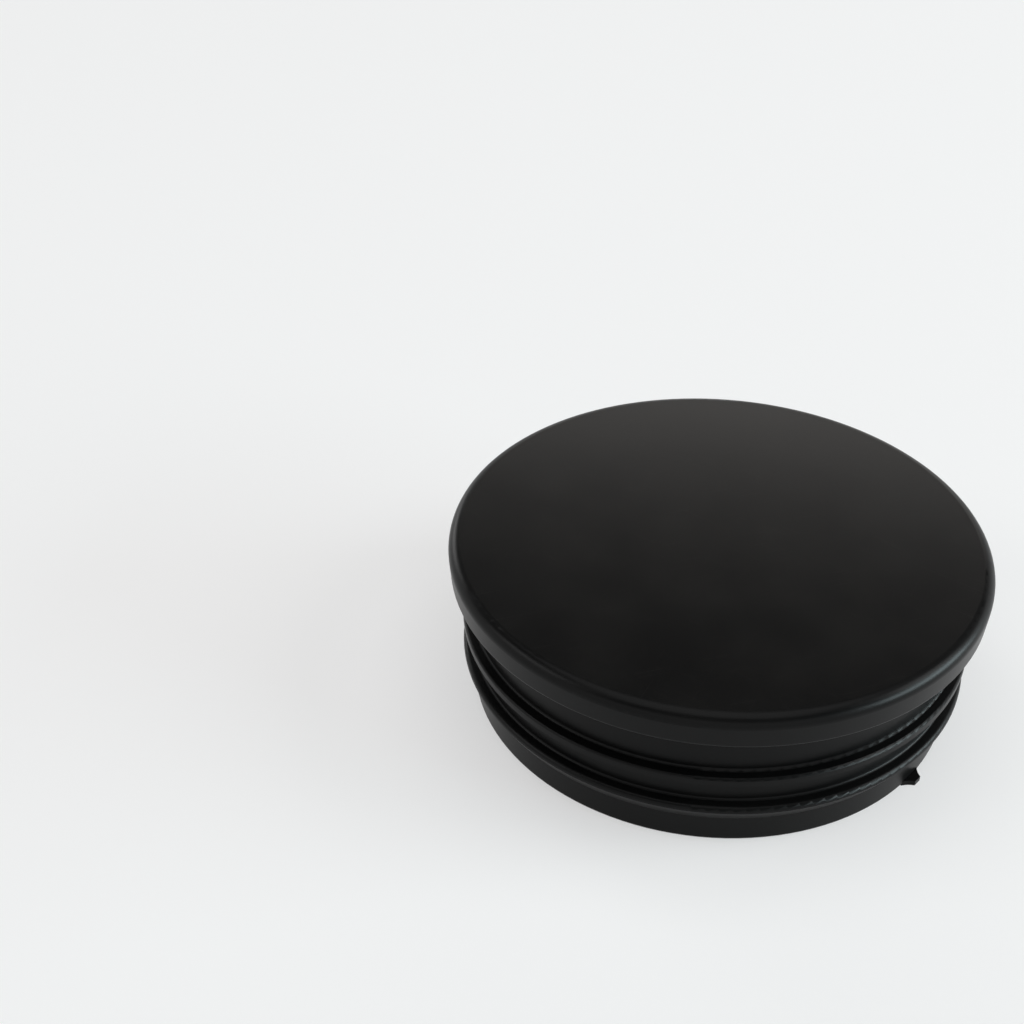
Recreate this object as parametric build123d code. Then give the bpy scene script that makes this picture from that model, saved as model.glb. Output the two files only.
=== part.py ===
from build123d import *
import math
import os

# A push-in cap that closes the end of a round tube, moulded in one piece: a low crowned head,
# a hollow plug under it, and two ribs round the plug that grip the tube's bore.
# Millimetres. +Z is the cap's axis with the head up, and the origin is the middle of the open end.

# The tube that the cap closes; the head's rim is flush with its outside
TUBE_DIAMETER = 60.0
TUBE_WALL = 2.0

# Head
RIM_HEIGHT = 3.9              # from the seat to the corner between side and face
CROWN_HEIGHT = 0.5            # rise of the face from that corner to its middle
FACE_WALL = 2.6               # thickness at the middle
SIDE_DRAFT = 5.0              # degrees, narrowest at the seat
RIM_RADIUS = 1.3              # rounding between side and face
SEAT_EDGE_RADIUS = 0.4        # rounding between side and seat

# Plug
PLUG_CLEARANCE = 0.65         # radial gap between the tube's bore and the plug at its root
PLUG_DRAFT = 0.9              # degrees, outside, narrowest at the open end
PLUG_WALL = 2.0               # at the open end
PILOT_LENGTH = 3.5            # plain end of the plug below the lower rib
END_EDGE_RADIUS = 0.4         # rounding on the outer edge of the open end
HOLLOW_DRAFT = 1.0            # degrees, inside, widest at the open end
HOLLOW_RADIUS = 1.5           # rounding between the hollow's side and its ceiling
ROOT_RADIUS = 0.3             # rounding where the head and the ribs meet the plug's outside

# Ribs
RIB_BITE = 0.4                # radial interference of both ribs with the tube's bore
RIB_FACE_SLOPE = 12.0         # degrees from level, on the ribs' upper and lower faces
UPPER_RIB_DROP = 5.5          # from the seat to the top of the upper rib's land
UPPER_RIB_LAND = 0.9          # height of the land, the upright outer face that grips the bore
UPPER_RIB_EDGE_RADIUS = 0.3   # rounding on the land's top edge
RIB_PITCH = 4.2               # from the top of the upper land to the top of the lower one
LOWER_RIB_LAND = 0.6
LOWER_RIB_EDGE_RADIUS = 0.5
LEAD_IN_HEIGHT = 1.6          # of the taper under the lower rib's land
LEAD_IN_DEPTH = 1.0           # how far that taper draws in

# Gate stub: what is left on the open end's outer edge where the moulding was fed
GATE_AZIMUTH = -33.0          # degrees from +X about +Z
GATE_LENGTH = 1.0             # out from the plug's wall
GATE_ROOT_WIDTH = 3.0
GATE_TIP_WIDTH = 1.0
GATE_FLARE_RADIUS = 2.5       # of the hollow curve from root to tip on each side
GATE_THICKNESS = 0.6

# Worked out from the sizes above
BORE_RADIUS = TUBE_DIAMETER / 2 - TUBE_WALL
RIB_RADIUS = BORE_RADIUS + RIB_BITE
LOWER_RIB_DROP = UPPER_RIB_DROP + RIB_PITCH
PLUG_LENGTH = LOWER_RIB_DROP + LOWER_RIB_LAND + LEAD_IN_HEIGHT + PILOT_LENGTH

SEAT_Z = PLUG_LENGTH
RIM_Z = SEAT_Z + RIM_HEIGHT
RIM_CORNER_RADIUS = TUBE_DIAMETER / 2
SEAT_RADIUS = RIM_CORNER_RADIUS - RIM_HEIGHT * math.tan(math.radians(SIDE_DRAFT))
TOP_Z = RIM_Z + CROWN_HEIGHT
CROWN_SPHERE_RADIUS = (RIM_CORNER_RADIUS**2 + CROWN_HEIGHT**2) / (2 * CROWN_HEIGHT)

PLUG_ROOT_RADIUS = BORE_RADIUS - PLUG_CLEARANCE
PLUG_END_RADIUS = PLUG_ROOT_RADIUS - PLUG_LENGTH * math.tan(math.radians(PLUG_DRAFT))
MID_WALL_RADIUS = PLUG_END_RADIUS - PLUG_WALL / 2

CEILING_Z = TOP_Z - FACE_WALL
HOLLOW_END_RADIUS = PLUG_END_RADIUS - PLUG_WALL
HOLLOW_TOP_RADIUS = HOLLOW_END_RADIUS - CEILING_Z * math.tan(math.radians(HOLLOW_DRAFT))


def corner(section, radius, height):
    """The section's corner nearest to a point, given by its radius and height."""
    return section.vertices().sort_by_distance((radius, height))[0]


def head_section():
    """Half section of the head: level seat, drafted side and crowned face, with both edges rounded."""
    sides = Polyline((0, TOP_Z), (0, SEAT_Z), (SEAT_RADIUS, SEAT_Z), (RIM_CORNER_RADIUS, RIM_Z))
    crown = RadiusArc((0, TOP_Z), (RIM_CORNER_RADIUS, RIM_Z), CROWN_SPHERE_RADIUS)
    section = make_face(sides.edges() + crown.edges())
    section = fillet(corner(section, RIM_CORNER_RADIUS, RIM_Z), RIM_RADIUS)
    return fillet(corner(section, SEAT_RADIUS, SEAT_Z), SEAT_EDGE_RADIUS)


def plug_section():
    """Half section of the plug, solid, with its leading edge rounded."""
    section = make_face(
        Polyline((0, SEAT_Z), (0, 0), (PLUG_END_RADIUS, 0), (PLUG_ROOT_RADIUS, SEAT_Z), close=True)
    )
    return fillet(corner(section, PLUG_END_RADIUS, 0), END_EDGE_RADIUS)


def hollow_section():
    """Half section of the hollow, open at the bottom, with a rounded corner at its ceiling."""
    section = make_face(
        Polyline((0, CEILING_Z), (0, 0), (HOLLOW_END_RADIUS, 0), (HOLLOW_TOP_RADIUS, CEILING_Z), close=True)
    )
    return fillet(corner(section, HOLLOW_TOP_RADIUS, CEILING_Z), HOLLOW_RADIUS)


def rib_section(land_points, edge_radius):
    """Half section of a rib, rooted in the middle of the plug's wall, with its upper edge rounded.

    The land points run down its outer face, and the sloping faces leave from the first and the last.
    """
    (top_radius, top_z), (foot_radius, foot_z) = land_points[0], land_points[-1]
    slope = math.tan(math.radians(RIB_FACE_SLOPE))
    root_top = (MID_WALL_RADIUS, top_z + slope * (top_radius - MID_WALL_RADIUS))
    root_foot = (MID_WALL_RADIUS, foot_z - slope * (foot_radius - MID_WALL_RADIUS))
    section = make_face(Polyline(root_top, *land_points, root_foot, close=True))
    return fillet(corner(section, top_radius, top_z), edge_radius)


def upper_rib():
    """Thin rib with a plain land."""
    land_top = SEAT_Z - UPPER_RIB_DROP
    land_points = [(RIB_RADIUS, land_top), (RIB_RADIUS, land_top - UPPER_RIB_LAND)]
    return rib_section(land_points, UPPER_RIB_EDGE_RADIUS)


def lower_rib():
    """Thick rib whose land runs into a lead-in taper."""
    land_top = SEAT_Z - LOWER_RIB_DROP
    land_foot = land_top - LOWER_RIB_LAND
    taper_foot = (RIB_RADIUS - LEAD_IN_DEPTH, land_foot - LEAD_IN_HEIGHT)
    land_points = [(RIB_RADIUS, land_top), (RIB_RADIUS, land_foot), taper_foot]
    return rib_section(land_points, LOWER_RIB_EDGE_RADIUS)


def root_corners(section):
    """Inner corners of the outline, where the head and the ribs meet the plug's outside."""
    on_wall = section.vertices().filter_by_position(Axis.X, PLUG_END_RADIUS, PLUG_ROOT_RADIUS)
    return on_wall.filter_by_position(Axis.Y, PILOT_LENGTH / 2, SEAT_Z)


def gate_stub():
    """Small flared stub on the open end's outer edge, level with the end."""
    half_root = GATE_ROOT_WIDTH / 2
    half_tip = GATE_TIP_WIDTH / 2
    wall_x = math.sqrt(PLUG_END_RADIUS**2 - half_root**2)
    tip_x = PLUG_END_RADIUS + GATE_LENGTH
    inside = Polyline(
        (wall_x, half_root), (MID_WALL_RADIUS, half_root), (MID_WALL_RADIUS, -half_root), (wall_x, -half_root)
    )
    right = RadiusArc((wall_x, -half_root), (tip_x, -half_tip), GATE_FLARE_RADIUS)
    tip = Line((tip_x, -half_tip), (tip_x, half_tip))
    left = RadiusArc((tip_x, half_tip), (wall_x, half_root), GATE_FLARE_RADIUS)
    plan = make_face(inside.edges() + right.edges() + tip.edges() + left.edges())
    return Rot(Z=GATE_AZIMUTH) * extrude(plan, GATE_THICKNESS)


def end_cap():
    """The whole moulding: its half section turned about the axis, and the gate stub."""
    section = head_section() + plug_section() + upper_rib() + lower_rib()
    section = fillet(root_corners(section), ROOT_RADIUS)
    section -= hollow_section()
    return revolve(Plane.XZ * section, Axis.Z) + gate_stub()


os.makedirs("parts", exist_ok=True)
export_step(end_cap(), "parts/end_cap.step")
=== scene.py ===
import math

import bpy
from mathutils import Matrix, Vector

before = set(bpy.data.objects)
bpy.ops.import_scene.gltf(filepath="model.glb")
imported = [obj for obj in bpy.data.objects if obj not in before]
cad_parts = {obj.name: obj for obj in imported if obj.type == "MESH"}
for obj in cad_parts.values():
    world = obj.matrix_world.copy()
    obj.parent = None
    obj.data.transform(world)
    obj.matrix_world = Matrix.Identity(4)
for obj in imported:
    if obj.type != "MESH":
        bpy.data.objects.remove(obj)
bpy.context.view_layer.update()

# The cap stands at the origin on its open end, head up.
# Lengths are in metres, and azimuths are degrees from +X about +Z.

# Camera
CAMERA_PLACE = Vector((0.0, -0.14351, 0.12295))
CAMERA_TURN = 9.155           # degrees to the left of +Y
CAMERA_TILT = 35.356          # degrees below level
CAMERA_LENS = 55.863          # mm, on a 36 mm sensor

# Studio
LIGHT_DISTANCE = 1.2
WHITE = (1.0, 1.0, 1.0)
COOL = (0.82, 1.0, 1.04)
WARM = (1.04, 0.99, 0.93)
LAMPS = (
    # name, azimuth, elevation, width, height, brightness, colour
    ("window", -3, 12, 0.95, 0.42, 11.0, COOL),
    ("window_top", 8, 36, 0.55, 0.5, 4.0, WHITE),
    ("back", 87, 24, 0.85, 0.17, 3.0, WARM),
    ("back_left", 135, 18, 0.4, 0.4, 3.0, WHITE),
    ("left", 195, 36, 0.7, 0.4, 2.7, WHITE),
    ("overhead", 0, 90, 1.3, 1.3, 1.4, WHITE),
    ("fill", 262, 40, 1.5, 1.1, 0.2, WHITE),
)
FLOOR_HALF_SIZE = 1.5
FLOOR_DROP = 0.00002          # keeps the floor out of the plane of the cap's open end
FLOOR_GREY = 0.86
FLOOR_ROUGHNESS = 0.9
FLOOR_GLOW = 0.5              # share of plain white in the floor, for the camera and reflections
SKY_GLOW = 0.024              # the surroundings' own light
SKYLINE = (0.34, 0.5)         # sines of the elevations between which the white backdrop fades

# Black plastic with a satin skin. The specular level is set low, to follow the photo.
SHADE_DEEP = (0.0024, 0.0024, 0.0025, 1)
SHADE_WORN = (0.004, 0.0039, 0.0037, 1)
ROUGH_SKIN = 0.31
ROUGH_SMUDGE = 0.34
SPECULAR_LEVEL = 0.12
GRAIN_SIZE = 0.0003           # of the fine texture that the mould leaves
GRAIN_DEPTH = 0.0000015
SINK_SIZE = 0.011             # of the slow waviness left by cooling
SINK_DEPTH = 0.000003
SMUDGE_SIZE = 0.009
SMUDGE_RANGE = (0.35, 0.7)    # of the noise, from clean to fully smudged
SCRATCH_ANGLES = (24, 71, 152)
SCRATCH_WIDTH = 0.00012
SCRATCH_LENGTH = 0.006
SCRATCH_DEPTH = 0.000003
SCRATCH_RANGE = (0.78, 0.84)  # of the noise, from bare to fully scratched


def aimed_at_cap(thing, azimuth, elevation, distance):
    """Places a light on a sphere round the cap and turns it towards the cap."""
    around, up = math.radians(azimuth), math.radians(elevation)
    away = Vector((math.cos(around) * math.cos(up), math.sin(around) * math.cos(up), math.sin(up)))
    thing.location = away * distance
    thing.rotation_euler = away.to_track_quat("Z", "Y").to_euler()


def softbox(name, azimuth, elevation, width, height, brightness, colour):
    """A rectangular light that faces the cap; its power follows from its size and brightness."""
    light = bpy.data.lights.new(name, "AREA")
    light.shape = "RECTANGLE"
    light.size = width
    light.size_y = height
    light.energy = math.pi * width * height * brightness
    light.color = colour
    thing = bpy.data.objects.new(name, light)
    bpy.context.scene.collection.objects.link(thing)
    aimed_at_cap(thing, azimuth, elevation, LIGHT_DISTANCE)


def make_world():
    """Dim surroundings, and a white backdrop that only the camera and reflections see."""
    world = bpy.data.worlds.new("studio")
    world.use_nodes = True
    bpy.context.scene.world = world
    tree = world.node_tree
    split = tree.nodes.new("ShaderNodeSeparateXYZ")
    direction = tree.nodes.new("ShaderNodeTexCoord").outputs["Generated"]
    tree.links.new(direction, split.inputs["Vector"])
    backdrop = mapped(tree, split.outputs["Z"], *SKYLINE, 1, SKY_GLOW)

    strength = tree.nodes.new("ShaderNodeMix")
    strength.inputs["A"].default_value = SKY_GLOW
    tree.links.new(seen_or_mirrored(tree), strength.inputs["Factor"])
    tree.links.new(backdrop, strength.inputs["B"])
    tree.nodes["Background"].inputs["Color"].default_value = (1, 1, 1, 1)
    tree.links.new(strength.outputs["Result"], tree.nodes["Background"].inputs["Strength"])


def make_floor():
    mesh = bpy.data.meshes.new("floor")
    s = FLOOR_HALF_SIZE
    z = -FLOOR_DROP
    mesh.from_pydata([(-s, -s, z), (s, -s, z), (s, s, z), (-s, s, z)], [], [(0, 1, 2, 3)])
    floor = bpy.data.objects.new("floor", mesh)
    bpy.context.scene.collection.objects.link(floor)
    mesh.materials.append(pale_floor())


def pale_floor():
    """Pale grey that lights the cap plainly, and looks nearer to white than it lights."""
    material = bpy.data.materials.new("pale_floor")
    material.use_nodes = True
    tree = material.node_tree
    shader = tree.nodes["Principled BSDF"]
    shader.inputs["Base Color"].default_value = (FLOOR_GREY, FLOOR_GREY, FLOOR_GREY, 1)
    shader.inputs["Roughness"].default_value = FLOOR_ROUGHNESS
    shader.inputs["Specular IOR Level"].default_value = 0.0

    white = tree.nodes.new("ShaderNodeEmission")
    mix = tree.nodes.new("ShaderNodeMixShader")
    tree.links.new(mapped(tree, seen_or_mirrored(tree), 0, 1, 0, FLOOR_GLOW), mix.inputs["Fac"])
    tree.links.new(shader.outputs["BSDF"], mix.inputs[1])
    tree.links.new(white.outputs["Emission"], mix.inputs[2])
    tree.links.new(mix.outputs["Shader"], tree.nodes["Material Output"].inputs["Surface"])
    return material


def make_camera():
    data = bpy.data.cameras.new("camera")
    data.sensor_width = 36.0
    data.lens = CAMERA_LENS
    data.clip_start = 0.005
    camera = bpy.data.objects.new("camera", data)
    bpy.context.scene.collection.objects.link(camera)
    camera.location = CAMERA_PLACE
    camera.rotation_euler = (math.radians(90 - CAMERA_TILT), 0, math.radians(CAMERA_TURN))
    bpy.context.scene.camera = camera


def noise(tree, place, size, detail):
    """Noise whose blots are about as large as the given size."""
    texture = tree.nodes.new("ShaderNodeTexNoise")
    texture.inputs["Scale"].default_value = 1 / size
    texture.inputs["Detail"].default_value = detail
    tree.links.new(place, texture.inputs["Vector"])
    return texture.outputs["Fac"]


def mapped(tree, value, from_low, from_high, to_low, to_high):
    """The value carried from one range to another, and held inside it."""
    node = tree.nodes.new("ShaderNodeMapRange")
    node.inputs["From Min"].default_value = from_low
    node.inputs["From Max"].default_value = from_high
    node.inputs["To Min"].default_value = to_low
    node.inputs["To Max"].default_value = to_high
    tree.links.new(value, node.inputs["Value"])
    return node.outputs["Result"]


def greater(tree, first, second):
    """The greater of two values."""
    node = tree.nodes.new("ShaderNodeMath")
    node.operation = "MAXIMUM"
    tree.links.new(first, node.inputs[0])
    tree.links.new(second, node.inputs[1])
    return node.outputs["Value"]


def seen_or_mirrored(tree):
    """1 for rays of the camera, a reflection or a clear material, and 0 for light that spreads."""
    path = tree.nodes.new("ShaderNodeLightPath")
    seen = greater(tree, path.outputs["Is Camera Ray"], path.outputs["Is Glossy Ray"])
    return greater(tree, seen, path.outputs["Is Transmission Ray"])


def scratches(tree, place, angle):
    """Fine short lines that run one way, 1 on a line and 0 off it."""
    stretch = tree.nodes.new("ShaderNodeMapping")
    stretch.vector_type = "TEXTURE"
    stretch.inputs["Rotation"].default_value = (0, 0, math.radians(angle))
    stretch.inputs["Scale"].default_value = (SCRATCH_LENGTH, SCRATCH_WIDTH, SCRATCH_LENGTH)
    tree.links.new(place, stretch.inputs["Vector"])
    return mapped(tree, noise(tree, stretch.outputs["Vector"], 1, 0), *SCRATCH_RANGE, 0, 1)


def bumped(tree, height, depth, under=None):
    """A bump of a given depth on top of an earlier one."""
    bump = tree.nodes.new("ShaderNodeBump")
    bump.inputs["Distance"].default_value = depth
    tree.links.new(height, bump.inputs["Height"])
    if under:
        tree.links.new(under, bump.inputs["Normal"])
    return bump.outputs["Normal"]


def black_plastic():
    """Near-black satin plastic: mould grain, slow waviness, smudges and faint scratches."""
    material = bpy.data.materials.new("black_plastic")
    material.use_nodes = True
    tree = material.node_tree
    shader = tree.nodes["Principled BSDF"]
    place = tree.nodes.new("ShaderNodeTexCoord").outputs["Object"]

    smudge = mapped(tree, noise(tree, place, SMUDGE_SIZE, 4), *SMUDGE_RANGE, 0, 1)
    lines = scratches(tree, place, SCRATCH_ANGLES[0])
    for angle in SCRATCH_ANGLES[1:]:
        lines = greater(tree, lines, scratches(tree, place, angle))

    shade = tree.nodes.new("ShaderNodeMix")
    shade.data_type = "RGBA"
    shade.inputs["A"].default_value = SHADE_DEEP
    shade.inputs["B"].default_value = SHADE_WORN
    tree.links.new(greater(tree, smudge, lines), shade.inputs["Factor"])
    tree.links.new(shade.outputs["Result"], shader.inputs["Base Color"])
    tree.links.new(mapped(tree, smudge, 0, 1, ROUGH_SKIN, ROUGH_SMUDGE), shader.inputs["Roughness"])
    shader.inputs["Specular IOR Level"].default_value = SPECULAR_LEVEL

    normal = bumped(tree, noise(tree, place, SINK_SIZE, 1), SINK_DEPTH)
    normal = bumped(tree, noise(tree, place, GRAIN_SIZE, 3), GRAIN_DEPTH, normal)
    normal = bumped(tree, lines, -SCRATCH_DEPTH, normal)
    tree.links.new(normal, shader.inputs["Normal"])
    return material


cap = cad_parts["end_cap"]
cap.material_slots[0].material = black_plastic()

make_floor()
make_world()
for lamp in LAMPS:
    softbox(*lamp)
make_camera()
bpy.context.scene.view_settings.view_transform = "Standard"
